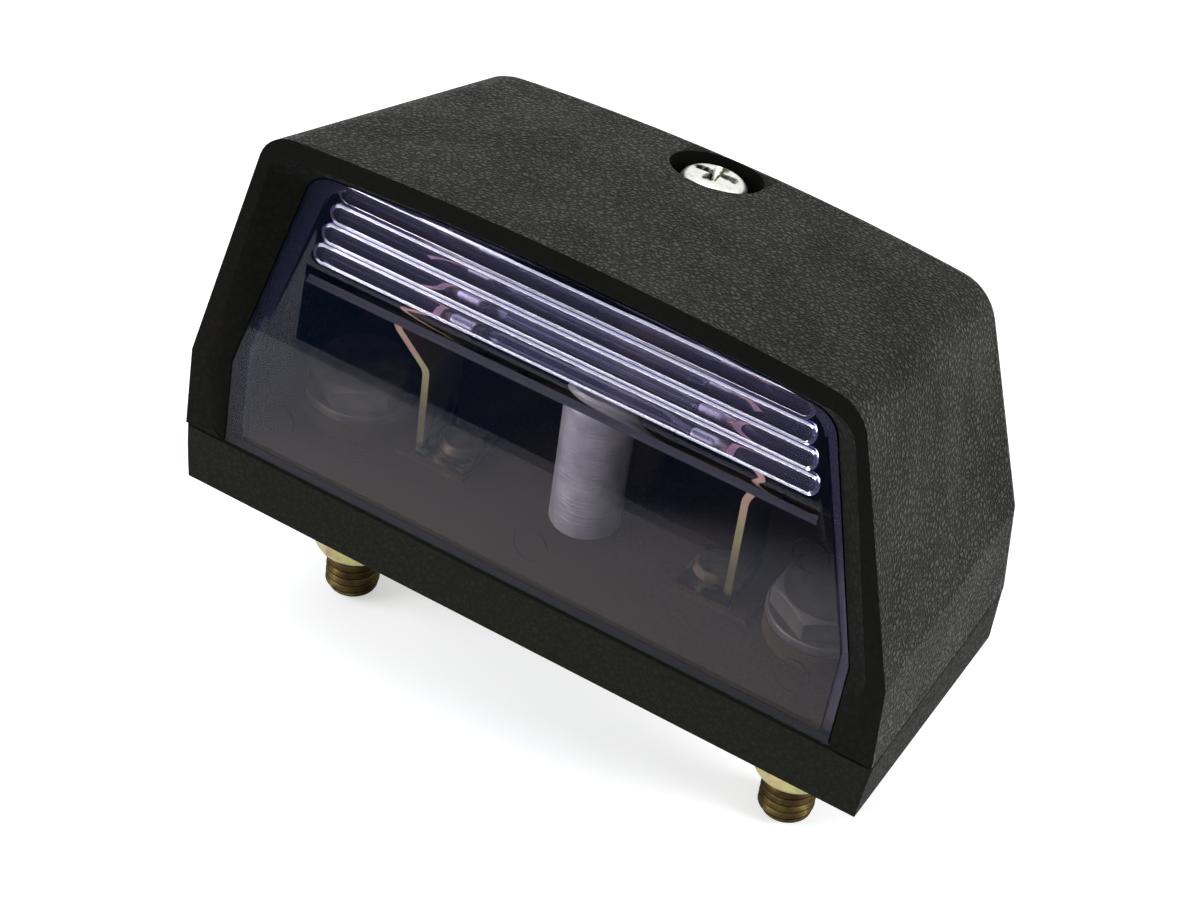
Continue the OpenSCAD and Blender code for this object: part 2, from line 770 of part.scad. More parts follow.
module lock_nut(side) {
    ring_radius = collar_radius - collar_wall;
    color([0.84, 0.78, 0.52])
        translate([side * stud_x, 0, -nut_bottom])
            difference() {
                union() {
                    translate([0, 0, nut_collar])
                        hex_prism(nut_height - nut_collar);
                    rotate_extrude()
                        polygon([[0, 0], [collar_radius * 0.78, 0], [collar_radius * 0.92, 0.3],
                            [collar_radius, 1], [collar_radius, nut_collar + cut], [0, nut_collar + cut]]);
                }
                translate([0, 0, -cut])
                    cylinder(h = nut_height + 2 * cut, r = nut_bore);
                translate([0, 0, -cut])
                    cylinder(h = nut_ring_height + cut, r = (ring_radius + stud_radius) / 2);
                translate([0, 0, nut_ring_low])
                    cylinder(h = nut_ring_height, r = ring_radius);
            }
}

module nut_ring(side) {
    color([0.85, 0.86, 0.84])
        translate([side * stud_x, 0, nut_ring_low - nut_bottom])
            difference() {
                cylinder(h = nut_ring_height, r = collar_radius - collar_wall);
                translate([0, 0, -cut])
                    cylinder(h = nut_ring_height + 2 * cut, r = nut_bore);
            }
}

// Spring strip on the right: foot inwards on its pad, bulge outwards, hole for the bulb
module contact_strip(bend_z, bulge) {
    mid = contact_thickness / 2;
    run = max(bulge_run, bulge);
    difference() {
        slab(-contact_width / 2, contact_width)
            polygon(ribbon([[rivet_x - foot_overrun, foot_z + mid], [contact_x, foot_z + mid],
                [contact_x, bend_z], [contact_x + bulge, bend_z + run],
                [contact_x + bulge, bend_z + run + bulge_flat],
                [hold_x, bulb_z - hold_half], [hold_x, bulb_z + hold_half],
                [hold_x + flare_out, bulb_z + hold_half + flare_up]], contact_thickness));
        translate([hold_x - cut, 0, bulb_z])
            rotate([0, 90, 0])
                cylinder(h = 2 * cut, r = hold_radius);
        translate([rivet_x, 0, foot_z - cut])
            cylinder(h = 3 * cut, r = rivet_radius);
    }
}

module contact_left() {
    color([0.72, 0.52, 0.38])
        mirror([1, 0, 0])
            contact_strip(left_bend_z, left_bulge);
}

module contact_right() {
    color([0.72, 0.52, 0.38])
        contact_strip(right_bend_z, right_bulge);
}

module contact_rivet(side) {
    low = base_height - deck_thickness - contact_thickness;
    high = foot_z + contact_thickness;
    color([0.8, 0.66, 0.36])
        translate([side * rivet_x, 0, 0])
            rotate_extrude()
                polygon([[0, low - rivet_head], [rivet_radius + rivet_lip / 2, low - rivet_head],
                    [rivet_radius + rivet_lip, low], [rivet_radius, low], [rivet_radius, high],
                    [rivet_radius + rivet_lip, high], [rivet_radius + rivet_lip / 2, high + rivet_head],
                    [0, high + rivet_head]]);
}

module terminal(side) {
    mid = base_height - deck_thickness - contact_thickness / 2;
    end = base_depth - stud_set_back - base_wall - terminal_gap;
    color([0.82, 0.68, 0.34])
        difference() {
            cross_slab(side * rivet_x - terminal_width / 2, terminal_width)
                polygon(ribbon([[-terminal_front, mid], [terminal_bend, mid],
                    [terminal_bend + terminal_drop, mid - terminal_drop], [end, mid - terminal_drop]],
                    contact_thickness));
            translate([side * rivet_x, 0, 0])
                cylinder(h = base_height, r = rivet_radius);
        }
}

// Frame of the bulb, Z along its length to the right
module bulb_frame() {
    translate([0, 0, bulb_z])
        rotate([0, 90, 0])
            children();
}

// Outline of the glass in the radius and length direction
function glass_edge(r, neck) =
    let (straight = glass_half - (r - neck) * 1.4)
    concat([[neck, -glass_half - neck_length], [neck, -glass_half]],
        corner_arc([neck, -glass_half], [r, -straight], [r, 0], 3),
        corner_arc([r, 0], [r, straight], [neck, glass_half], 3),
        [[neck, glass_half], [neck, glass_half + neck_length]]);

module bulb_glass() {
    outer = glass_edge(glass_radius, neck_radius);
    inner = glass_edge(glass_radius - glass_wall, neck_radius - glass_wall);
    color([0.9, 0.93, 0.95, 0.4])
        bulb_frame()
            rotate_extrude()
                polygon(concat(outer, [for (i = [len(inner) - 1:-1:0]) inner[i]]));
}

module bulb_cap(side) {
    color([0.8, 0.79, 0.75])
        bulb_frame()
            mirror([0, 0, side < 0 ? 1 : 0])
                rotate_extrude()
                    polygon([[neck_radius, glass_half], [cap_radius, glass_half],
                        [cap_radius, bulb_half - cone_run], [tip_radius, bulb_half], [0, bulb_half],
                        [0, cap_floor], [neck_radius, cap_floor]]);
}

module bulb_filament() {
    color([0.35, 0.34, 0.33])
        bulb_frame()
            union() {
                cylinder(h = 2 * cap_floor, r = wire_radius, center = true);
                cylinder(h = coil_length, r = coil_radius, center = true);
            }
}

base_plate();
cover();
lens();
base_seal();
cover_screw();
screw_insert();
stud(-1);  // stud_left
stud(1);  // stud_right
stud_washer(-1);  // stud_washer_left
stud_washer(1);  // stud_washer_right
lock_nut(-1);  // lock_nut_left
lock_nut(1);  // lock_nut_right
nut_ring(-1);  // nut_ring_left
nut_ring(1);  // nut_ring_right
contact_left();
contact_right();
contact_rivet(-1);  // contact_rivet_left
contact_rivet(1);  // contact_rivet_right
terminal(-1);  // terminal_left
terminal(1);  // terminal_right
bulb_glass();
bulb_cap(-1);  // bulb_cap_left
bulb_cap(1);  // bulb_cap_right
bulb_filament();
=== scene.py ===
# %% [markdown]
# # A number plate lamp
# The lamp is a black arched hood on a low base. A ribbed clear lens fills its window,
# a cross-head screw holds the hood down, and two studs with lock nuts hold the lamp
# to a panel. The CAD model gives the sizes, and this lesson gives it its looks.
# %% Load the fixed frame
import math

import bpy
from mathutils import Matrix, Vector


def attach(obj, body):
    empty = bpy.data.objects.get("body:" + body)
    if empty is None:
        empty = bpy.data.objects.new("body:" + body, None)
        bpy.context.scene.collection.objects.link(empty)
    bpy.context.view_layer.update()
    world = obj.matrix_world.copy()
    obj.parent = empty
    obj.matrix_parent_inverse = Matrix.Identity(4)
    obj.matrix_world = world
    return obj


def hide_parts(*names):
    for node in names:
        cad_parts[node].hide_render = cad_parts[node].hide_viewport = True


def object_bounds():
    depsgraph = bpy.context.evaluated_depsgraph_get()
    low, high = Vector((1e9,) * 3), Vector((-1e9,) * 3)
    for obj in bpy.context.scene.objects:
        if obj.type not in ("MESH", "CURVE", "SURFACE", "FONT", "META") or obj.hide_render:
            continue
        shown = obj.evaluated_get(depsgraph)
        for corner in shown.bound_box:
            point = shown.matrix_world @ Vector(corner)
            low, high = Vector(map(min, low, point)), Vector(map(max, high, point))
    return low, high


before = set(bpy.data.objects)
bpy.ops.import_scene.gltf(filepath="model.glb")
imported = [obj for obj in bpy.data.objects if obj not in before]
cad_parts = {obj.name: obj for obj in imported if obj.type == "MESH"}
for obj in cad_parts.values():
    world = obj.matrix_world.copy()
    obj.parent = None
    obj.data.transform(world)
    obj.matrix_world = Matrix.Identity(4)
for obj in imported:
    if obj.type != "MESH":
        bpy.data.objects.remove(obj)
cad_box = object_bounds()
print("CAD box in mm", [[round(1000 * c, 2) for c in corner] for corner in cad_box])

# %% [markdown]
# Blender works in metres and the lamp is drawn in millimetres, so one factor turns
# one into the other. These few sizes are the ones that more than one piece needs:
# the front face, the leaning plane of the lens, the stud line and the bulb axis.
# %% Shared sizes
MM = 0.001
FRONT = -14.5 * MM
DECK = 6.8 * MM
STUD_X = 27.5 * MM
BULB_Z = 30 * MM
LENS_LEAN = math.radians(4.3)
LENS_PLACE = Matrix.Translation((0, FRONT + 0.2 * MM, DECK)) @ Matrix.Rotation(-LENS_LEAN, 4, "X")
ROOF_SLOPE = math.radians(16.2)
SCREW_SEAT = Vector((0, 32.09 - 14.5, 39.5)) * MM
SCREW_PLACE = Matrix.Translation(SCREW_SEAT) @ Matrix.Rotation(-ROOF_SLOPE, 4, "X")
print("studs are", 2 * STUD_X / MM, "mm apart")

# %% [markdown]
# The camera stands where the photographer stood: above the lamp and a little to the
# right of its middle, tipped sideways by a few degrees. Its three axes are worked out
# from those angles, because a tipped camera is hard to aim with a target.
# %% Camera
CAMERA_STAND = Vector((95.1, -198.9, 204.8)) * MM
LAMP_MIDDLE = Vector((0, 0, 25)) * MM
around, above, tip = (math.radians(a) for a in (25.5, 40.7, 8.5))
sideways = Vector((math.cos(around), math.sin(around), 0))
towards_stand = Vector((math.sin(around), -math.cos(around), 0))
backwards = math.cos(above) * towards_stand + Vector((0, 0, math.sin(above)))
upwards = backwards.cross(sideways)
camera_x = math.cos(tip) * sideways + math.sin(tip) * upwards
camera_y = math.cos(tip) * upwards - math.sin(tip) * sideways
bpy.ops.object.camera_add()
camera = bpy.context.object
camera.name = "photo_camera"
camera.data.lens = 87.24
camera.data.sensor_width = 36
camera.data.clip_start = 0.01
camera_turn = Matrix((camera_x, camera_y, backwards)).transposed().to_4x4()
camera.matrix_world = Matrix.Translation(CAMERA_STAND) @ camera_turn
bpy.context.scene.camera = camera
bpy.context.scene.view_settings.view_transform = "Standard"
print("camera is", round((CAMERA_STAND - LAMP_MIDDLE).length, 3), "m from the lamp")

# %% [markdown]
# Every material below is a small tree of nodes, so one function adds a node with its
# settings, its fixed values and its links. Colours are written as sRGB hex, the way a
# painter would pick them from a screen, and one function makes them linear.
# %% Two small tools for materials
def linear(hex_colour):
    """sRGB hex such as #4a4b45 to the linear values that a shader wants."""
    parts = [int(hex_colour[i:i + 2], 16) / 255 for i in (1, 3, 5)]
    return [c / 12.92 if c <= 0.04045 else ((c + 0.055) / 1.055) ** 2.4 for c in parts] + [1]


def add_node(tree, kind, feeds=None, values=None, **settings):
    """One node: settings are its own, values fill sockets, feeds link sockets to outputs."""
    node = tree.nodes.new(kind)
    for name, value in settings.items():
        setattr(node, name, value)
    for name, value in (values or {}).items():
        node.inputs[name].default_value = value
    for name, output in (feeds or {}).items():
        tree.links.new(output, node.inputs[name])
    return node


def blank_material(name):
    """An empty material, its shader, and a position on the piece counted in millimetres."""
    material = bpy.data.materials.new(name)
    material.use_nodes = True
    tree = material.node_tree
    tree.nodes.clear()
    shader = add_node(tree, "ShaderNodeBsdfPrincipled")
    add_node(tree, "ShaderNodeOutputMaterial", {"Surface": shader.outputs[0]})
    place = add_node(tree, "ShaderNodeTexCoord")
    in_mm = add_node(tree, "ShaderNodeVectorMath", {0: place.outputs["Object"]}, {"Scale": 1 / MM},
                     operation="SCALE")
    return material, tree, shader, in_mm.outputs[0]


def set_stops(ramp, stops):
    """Colour stops of a ramp, given in rising order as position and hex colour."""
    band = ramp.color_ramp
    while len(band.elements) < len(stops):
        band.elements.new(1)
    for element, (position, colour) in zip(band.elements, stops):
        element.position = position
        element.color = linear(colour)


print("half grey on the screen is", round(linear("#808080")[0], 3), "in linear light")

# %% [markdown]
# The photograph has a pure white background. The world is white only to the camera,
# to mirrors and through glass, and a softer grey to everything else, so the lamp is
# not drowned in light. The floor does the same but keeps the lamp's shadow.
# %% White surroundings
ROOM_GREY = 0.5


def seen_directly(tree):
    """1 for rays from the camera, from a mirror or through glass, and 0 for all others."""
    ray = add_node(tree, "ShaderNodeLightPath")
    eye_or_mirror = add_node(tree, "ShaderNodeMath",
                             {0: ray.outputs["Is Camera Ray"], 1: ray.outputs["Is Glossy Ray"]},
                             operation="MAXIMUM")
    any_of_three = add_node(tree, "ShaderNodeMath",
                            {0: eye_or_mirror.outputs[0], 1: ray.outputs["Is Transmission Ray"]},
                            operation="MAXIMUM")
    return any_of_three.outputs[0]


world = bpy.data.worlds.new("white_room")
bpy.context.scene.world = world
world.use_nodes = True
room = world.node_tree
room.nodes.clear()
dim_room = add_node(room, "ShaderNodeBackground", values={"Color": linear("#f4f6fa"), "Strength": ROOM_GREY})
white_room = add_node(room, "ShaderNodeBackground", values={"Color": linear("#ffffff"), "Strength": 1})
either = add_node(room, "ShaderNodeMixShader",
                  {0: seen_directly(room), 1: dim_room.outputs[0], 2: white_room.outputs[0]})
add_node(room, "ShaderNodeOutputWorld", {"Surface": either.outputs[0]})
print("the room lights the lamp at", ROOM_GREY, "and is seen as 1")

# %% [markdown]
# The floor lies just under the stud ends. It is painted pale, and for the camera it
# glows a little on top of that, which lifts it to white while the shadow stays.
# %% Floor
FLOOR_GAP = 0.5 * MM
FLOOR_GLOW = 0.45
bpy.ops.mesh.primitive_plane_add(size=6, location=(0, 0, cad_box[0].z - FLOOR_GAP))
floor = bpy.context.object
floor.name = "studio_floor"
floor_paint, tree, shader, _ = blank_material("pale floor paint")
shader.inputs["Base Color"].default_value = linear("#e6e7e9")
shader.inputs["Roughness"].default_value = 0.9
shader.inputs["Specular IOR Level"].default_value = 0.1
glow = add_node(tree, "ShaderNodeMath", {0: seen_directly(tree)}, {1: FLOOR_GLOW}, operation="MULTIPLY")
tree.links.new(glow.outputs[0], shader.inputs["Emission Strength"])
shader.inputs["Emission Color"].default_value = linear("#ffffff")
floor.data.materials.append(floor_paint)
print("floor lies at", round(floor.location.z / MM, 2), "mm")

# %% [markdown]
# Three soft lamps light the object: one overhead, one from the right where the end
# wall catches light, and one on the left for what stands behind the window.
# %% Soft lamps
LAMPS_AIM = Vector((0, 0, 20)) * MM


def soft_lamp(name, place, size, watts):
    """A square lamp of size metres that faces the object."""
    bpy.ops.object.light_add(type="AREA", location=place)
    lamp = bpy.context.object
    lamp.name = name
    lamp.data.size = size
    lamp.data.energy = watts
    lamp.rotation_euler = (LAMPS_AIM - Vector(place)).to_track_quat("-Z", "Y").to_euler()
    print(name, "gives", watts, "W")


soft_lamp("overhead_lamp", (-0.15, -0.1, 0.75), 0.45, 2.1)
soft_lamp("right_lamp", (0.7, 0.1, 0.35), 0.3, 4.4)
soft_lamp("window_lamp", (-0.5, -0.42, 0.22), 0.5, 5)

# %% [markdown]
# A matt dark blue card lies on the floor in front of the lamp, as photographers use,
# so that the upright faces and the upper part of the lens mirror something dark. Only
# mirrors see it. Its near edge runs at a slant and fades in over about a centimetre,
# because the dark part of the window in the photograph has a soft, slanting edge.
# %% Dark card for reflections
CARD_NEAR, CARD_FULL = -66, -78
CARD_SLANT = 0.45
bpy.ops.mesh.primitive_plane_add(size=1, location=(-0.1, -0.57, -0.019))
card = bpy.context.object
card.name = "dark_card"
card.scale = (1.6, 1, 1)
bpy.ops.object.transform_apply(location=True, rotation=True, scale=True)
card.visible_camera = card.visible_diffuse = card.visible_shadow = False
card_paint, tree, shader, mm = blank_material("matt blue card")
shader.inputs["Base Color"].default_value = linear("#42587c")
shader.inputs["Specular IOR Level"].default_value = 0
slanting = add_node(tree, "ShaderNodeVectorMath", {0: mm}, {1: (CARD_SLANT, 1, 0)}, operation="DOT_PRODUCT")
fade = add_node(tree, "ShaderNodeMapRange", {"Value": slanting.outputs["Value"]},
                {"From Min": CARD_NEAR, "From Max": CARD_FULL})
tree.links.new(fade.outputs[0], shader.inputs["Alpha"])
card.data.materials.append(card_paint)
print("the card fades in over", CARD_NEAR - CARD_FULL, "mm from front to back")

# %% [markdown]
# Many CAD pieces already have the right shape and only need a maker's finish: their
# triangles joined into whole faces, the sharp edges broken as a mould or a die leaves
# them, and smooth shading over the round parts. A few functions do that to a copy.
# %% Dress a copy of a CAD piece
def only(piece):
    """Selects one piece alone, which most operators need."""
    bpy.ops.object.select_all(action="DESELECT")
    bpy.context.view_layer.objects.active = piece
    piece.select_set(True)


def apply_modifier(piece, kind, **settings):
    """Adds a modifier, sets it and applies it at once."""
    only(piece)
    modifier = piece.modifiers.new(kind.lower(), kind)
    for name, value in settings.items():
        setattr(modifier, name, value)
    bpy.ops.object.modifier_apply(modifier=modifier.name)


def copy_of(node, name):
    """A merged copy of a CAD node's mesh, as a piece of its own."""
    piece = bpy.data.objects.new(name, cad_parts[node].data.copy())
    bpy.context.scene.collection.objects.link(piece)
    piece.data.materials.clear()
    only(piece)
    bpy.ops.mesh.customdata_custom_splitnormals_clear()
    bpy.ops.object.mode_set(mode="EDIT")
    bpy.ops.mesh.select_all(action="SELECT")
    bpy.ops.mesh.remove_doubles(threshold=1e-6)
    bpy.ops.mesh.dissolve_limited(angle_limit=math.radians(0.1))
    bpy.ops.object.mode_set(mode="OBJECT")
    return piece


def soften(piece, edge, angle=30, segments=2):
    """Breaks the sharp edges by edge millimetres and shades the rest smooth."""
    apply_modifier(piece, "BEVEL", width=edge * MM, segments=segments, limit_method="ANGLE",
                   angle_limit=math.radians(angle), miter_outer="MITER_ARC", use_clamp_overlap=True)
    only(piece)
    bpy.ops.object.shade_smooth_by_angle(angle=math.radians(angle + 5))
    apply_modifier(piece, "WEIGHTED_NORMAL", keep_sharp=True)


def hand_over(piece, material, slot, *nodes):
    """Gives a finished piece its body, its CAD nodes and a material, unless it has its own."""
    if material is not None:
        piece.data.materials.clear()
        piece.data.materials.append(material)
    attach(piece, "root")
    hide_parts(*nodes)
    print(piece.name, "has", len(piece.data.polygons), "faces")


print("there are", len(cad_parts), "CAD nodes to dress")

# %% [markdown]
# ## Moulded black plastic
# The hood and base are injection moulded ABS. The hood's outside is textured in the
# mould with a fine leather grain of about half a millimetre, while the rim round the
# window is left smooth and looks darker. Dust and handling leave it faintly uneven.
# Inside, the deck is a lighter brown. The grain is a pattern of pebbles, pushed out of
# line by noise, whose tops are a little smoother. Its colour mixes a random mottle with
# painted shade: lighter on the pebble tops and darker in the hollows. Tiny pale specks
# of dust lie on it, one every few millimetres.
# %% Plastics of the hood and base
DUST_SPACING = 7
DUST_SIZE = 0.12


def moulded_abs(name, dark, light, grain_mm, grain_height, roughness, gloss):
    """Black ABS with pebbles of grain_mm that stand up by grain_height millimetres."""
    material, tree, shader, mm = blank_material(name)
    cloud = add_node(tree, "ShaderNodeTexNoise", {"Vector": mm}, {"Scale": 1 / 9, "Detail": 4})
    warp = add_node(tree, "ShaderNodeTexNoise", {"Vector": mm}, {"Scale": 0.8 / grain_mm, "Detail": 2})
    push = add_node(tree, "ShaderNodeVectorMath", {0: warp.outputs["Color"]}, {"Scale": 1.1 * grain_mm},
                    operation="SCALE")
    moved = add_node(tree, "ShaderNodeVectorMath", {0: mm, 1: push.outputs[0]}, operation="ADD")
    cells = add_node(tree, "ShaderNodeTexVoronoi", {"Vector": moved.outputs[0]}, {"Scale": 1 / grain_mm},
                     feature="DISTANCE_TO_EDGE")
    pebble = add_node(tree, "ShaderNodeMapRange", {"Value": cells.outputs["Distance"]}, {"From Max": 0.32},
                      interpolation_type="SMOOTHSTEP")
    fine = add_node(tree, "ShaderNodeTexNoise", {"Vector": mm}, {"Scale": 2.2 / grain_mm, "Detail": 3})
    height = add_node(tree, "ShaderNodeMath", {0: fine.outputs[0], 1: pebble.outputs[0]}, operation="ADD")
    bump = add_node(tree, "ShaderNodeBump", {"Height": height.outputs[0]},
                    {"Strength": 1, "Distance": grain_height * MM})
    # The colour follows the grain's height: painted shade, lighter on the pebble tops and darker in the
    # hollows, times a random mottle.
    mottle_and_grain_shade = add_node(tree, "ShaderNodeMath", {0: cloud.outputs[0], 1: height.outputs[0]},
                      operation="MULTIPLY")
    tone = add_node(tree, "ShaderNodeValToRGB", {"Fac": mottle_and_grain_shade.outputs[0]})
    set_stops(tone, [(0.2, dark), (0.85, light)])
    dots = add_node(tree, "ShaderNodeTexVoronoi", {"Vector": mm}, {"Scale": 1 / DUST_SPACING})
    dust = add_node(tree, "ShaderNodeMath", {0: dots.outputs["Distance"]}, {1: DUST_SIZE / DUST_SPACING},
                    operation="LESS_THAN")
    colour = add_node(tree, "ShaderNodeMix", {0: dust.outputs[0], 6: tone.outputs[0]}, {7: linear("#6f6e66")},
                      data_type="RGBA")
    dull = add_node(tree, "ShaderNodeMapRange", {"Value": pebble.outputs[0]},
                    {"To Min": roughness + 0.2, "To Max": roughness})
    tree.links.new(colour.outputs[2], shader.inputs["Base Color"])
    tree.links.new(dull.outputs[0], shader.inputs["Roughness"])
    tree.links.new(bump.outputs[0], shader.inputs["Normal"])
    shader.inputs["Specular IOR Level"].default_value = gloss
    return material


grained_abs = moulded_abs("leather grain moulded ABS", "#060704", "#393a2f", 0.6, 0.34, 0.38, 0.07)
smooth_abs = moulded_abs("smooth moulded ABS", "#0c0c0a", "#100f0c", 0.9, 0.004, 0.4, 0.025)
base_abs = moulded_abs("satin moulded ABS", "#161611", "#1b1b15", 0.7, 0.012, 0.5, 0.03)
# The deck is a lighter brown than the rest of the base.
deck_abs = moulded_abs("lighter brown moulded ABS", "#33291a", "#3c311e", 0.5, 0.004, 0.6, 0.04)
print("plastics:", [plastic.name for plastic in (grained_abs, smooth_abs, base_abs, deck_abs)])

# %% [markdown]
# ## The hood
# Its CAD shape is right, so it is dressed. The grain belongs only on the outside: a
# face takes it if it looks away from the middle of the lamp and is neither on the
# flat front nor in the screw recess. All other faces keep the smooth finish.
# %% Hood
HOOD_MIDDLE = 20 * MM
OUTER_REACH = 8 * MM
BACK_FROM = 8 * MM
FRONT_SKIN = 0.08 * MM
RECESS_REACH = 5.1 * MM
hood = copy_of("cover", "hood_shell")
soften(hood, 0.12, 28)
hood.data.materials.append(smooth_abs)
hood.data.materials.append(grained_abs)
recess_axis = SCREW_PLACE.to_3x3() @ Vector((0, 0, 1))
for face in hood.data.polygons:
    centre, out = face.center, face.normal
    sideways_out = centre.x * out.x + (centre.z - HOOD_MIDDLE) * out.z
    from_screw = (centre - SCREW_SEAT).cross(recess_axis).length
    on_front = centre.y < FRONT + FRONT_SKIN
    outside = sideways_out > OUTER_REACH or (out.y > 0.3 and centre.y > BACK_FROM)
    face.material_index = int(outside and not on_front and from_screw > RECESS_REACH)
hand_over(hood, None, "hood_plastic", "cover")

# %% [markdown]
# ## The base and its seal
# The base is the same plastic with a plain satin skin. The round post under the bulb
# came out of a turned core, whose fine rings stretch its highlight into one tall
# streak. Its colour is painted a pale grey, a painted highlight for the window's light.
# %% Plastic of the post
RING_SPACING = 0.12
post_abs_painted_highlight, tree, shader, mm = blank_material("ABS from a turned core, painted pale")
stretched = add_node(tree, "ShaderNodeMapping", {"Vector": mm}, {"Scale": (0.02, 0.02, 1)})
rings = add_node(tree, "ShaderNodeTexNoise", {"Vector": stretched.outputs[0]},
                 {"Scale": 1 / RING_SPACING, "Detail": 2})
bump = add_node(tree, "ShaderNodeBump", {"Height": rings.outputs[0]},
                {"Strength": 1, "Distance": RING_SPACING * MM})
haze = add_node(tree, "ShaderNodeTexNoise", {"Vector": mm}, {"Scale": 1 / 2, "Detail": 2})
tone = add_node(tree, "ShaderNodeValToRGB", {"Fac": haze.outputs[0]})
# The post is painted a pale grey: a painted highlight.
set_stops(tone, [(0.3, "#6e6a6c"), (0.7, "#827f80")])
tree.links.new(tone.outputs[0], shader.inputs["Base Color"])
tree.links.new(bump.outputs[0], shader.inputs["Normal"])
shader.inputs["Roughness"].default_value = 0.3
shader.inputs["Specular IOR Level"].default_value = 1
print("rings are", RING_SPACING, "mm apart")

# %% [markdown]
# The base is cut along a line behind its front rim, so that the rim keeps the satin
# skin and only the deck behind it is a lighter brown. The post's faces are those near its axis.
# %% Base
RIM_BACK = FRONT + 2.5 * MM
DECK_SKIN = 0.3 * MM
POST_FOOT = DECK + 0.2 * MM
POST_REACH = 3.9 * MM
base = copy_of("base_plate", "base_moulding")
bpy.ops.object.mode_set(mode="EDIT")
bpy.ops.mesh.select_all(action="SELECT")
bpy.ops.mesh.bisect(plane_co=(0, RIM_BACK, 0), plane_no=(0, 1, 0))
bpy.ops.object.mode_set(mode="OBJECT")
soften(base, 0.12, 30)
base.data.materials.append(base_abs)
base.data.materials.append(post_abs_painted_highlight)
base.data.materials.append(deck_abs)
for face in base.data.polygons:
    x, y, z = face.center
    if z > POST_FOOT and math.hypot(x, y) < POST_REACH:
        face.material_index = 1
    elif z > DECK - DECK_SKIN and y > RIM_BACK:
        face.material_index = 2
hand_over(base, None, "base_plastic", "base_plate")

# %% [markdown]
# The seal is a moulded rubber ring, dull black with a trace of chalk. It shows only as
# a dark line in the seam under the hood.
# %% Seal
seal_rubber, tree, shader, mm = blank_material("moulded EPDM rubber")
chalk = add_node(tree, "ShaderNodeTexNoise", {"Vector": mm}, {"Scale": 1 / 0.6, "Detail": 4})
tone = add_node(tree, "ShaderNodeValToRGB", {"Fac": chalk.outputs[0]})
set_stops(tone, [(0.3, "#0d0d0d"), (0.8, "#191918")])
bump = add_node(tree, "ShaderNodeBump", {"Height": chalk.outputs[0]},
                {"Strength": 0.6, "Distance": 0.03 * MM})
tree.links.new(tone.outputs[0], shader.inputs["Base Color"])
tree.links.new(bump.outputs[0], shader.inputs["Normal"])
shader.inputs["Roughness"].default_value = 0.8
seal = copy_of("base_seal", "seam_seal")
soften(seal, 0.1, 40)
hand_over(seal, seal_rubber, "seal_rubber", "base_seal")

# %% [markdown]
# ## The lens
# A clear acrylic moulding with a faint violet tint. Its ribs are polished and tinted
# more deeply. Its edge is painted nearly black and opaque, as painted shade of the dark
# groove of the hood it sits in, and the step under the ribs is a narrow frosted ledge
# painted an opaque grey as a painted glint line. The mirrored white of the room is
# toned down, so that what stands behind the window stays visible.
# %% Clear acrylic
def moulded_acrylic(name, body, haze, clear=1, gloss=0.5):
    """Acrylic with a body colour and a roughness of haze. Clear is 0 for a part that hides what is behind."""
    material, tree, shader, mm = blank_material(name)
    dust = add_node(tree, "ShaderNodeTexNoise", {"Vector": mm}, {"Scale": 1 / 0.5, "Detail": 2})
    film = add_node(tree, "ShaderNodeMapRange", {"Value": dust.outputs[0]},
                    {"From Min": 0.6, "From Max": 0.9, "To Min": haze, "To Max": haze + 0.02})
    tree.links.new(film.outputs[0], shader.inputs["Roughness"])
    shader.inputs["Base Color"].default_value = linear(body)
    shader.inputs["Specular Tint"].default_value = linear("#606376")
    shader.inputs["Specular IOR Level"].default_value = gloss
    shader.inputs["Transmission Weight"].default_value = clear
    shader.inputs["IOR"].default_value = 1.49
    return material


acrylic = moulded_acrylic("moulded clear acrylic", "#eeebf9", 0)
rib_acrylic = moulded_acrylic("polished acrylic ribs", "#b4abe0", 0.02, 0.95)
# The edge is painted nearly black and opaque: painted shade of the hood's groove.
edge_acrylic_painted_shade = moulded_acrylic("violet acrylic edge painted dark as shade", "#0c0d1e", 0.4, 0, 0.1)
# The step is painted an opaque grey: a painted glint line.
step_acrylic_painted_glint = moulded_acrylic("step of the lens painted grey as a glint", "#55545f", 0.5, 0, 0.1)
lens_finishes = (acrylic, rib_acrylic, edge_acrylic_painted_shade, step_acrylic_painted_glint)
print("finishes of the lens:", [finish.name for finish in lens_finishes])

# %% [markdown]
# The four round ribs behind the upper part of the pane bend the light into bright
# streaks, so they need far finer faces than the CAD model has. Each rib starts as a
# ball that is pulled apart into a capsule. It is a hair thicker than the CAD rib, so
# the boolean that joins it to the lens swallows the old facets.
# %% Rib
PANE = 1.8 * MM
RIB_COUNT = 4
RIB_LOW = 26.8 * MM
RIB_PITCH = 2.55 * MM
RIB_RADIUS = 1.22 * MM
RIB_END = 27.8 * MM
RIB_SHORTER = 0.7 * MM
BALL_INSET = 1.2 * MM


def rib_capsule(row):
    """One round rib: a ball with its poles left and right, its halves moved apart."""
    half = RIB_END - RIB_SHORTER * row - BALL_INSET
    bpy.ops.mesh.primitive_uv_sphere_add(segments=64, ring_count=32, radius=RIB_RADIUS,
                                         rotation=(0, math.radians(90), 0))
    rib = bpy.context.object
    bpy.ops.object.transform_apply(location=True, rotation=True, scale=True)
    bpy.ops.object.mode_set(mode="EDIT")
    bpy.ops.mesh.select_mode(type="VERT")
    bpy.ops.mesh.select_all(action="DESELECT")
    bpy.ops.object.mode_set(mode="OBJECT")
    for vertex in rib.data.vertices:
        vertex.select = vertex.co.x > 0.01 * MM
    bpy.ops.object.mode_set(mode="EDIT")
    bpy.ops.transform.translate(value=(2 * half, 0, 0))
    bpy.ops.object.mode_set(mode="OBJECT")
    rib.data.transform(LENS_PLACE @ Matrix.Translation((-half, PANE, RIB_LOW + RIB_PITCH * row)))
    return rib


print("the ribs are", round(2 * RIB_RADIUS / MM, 2), "mm thick")

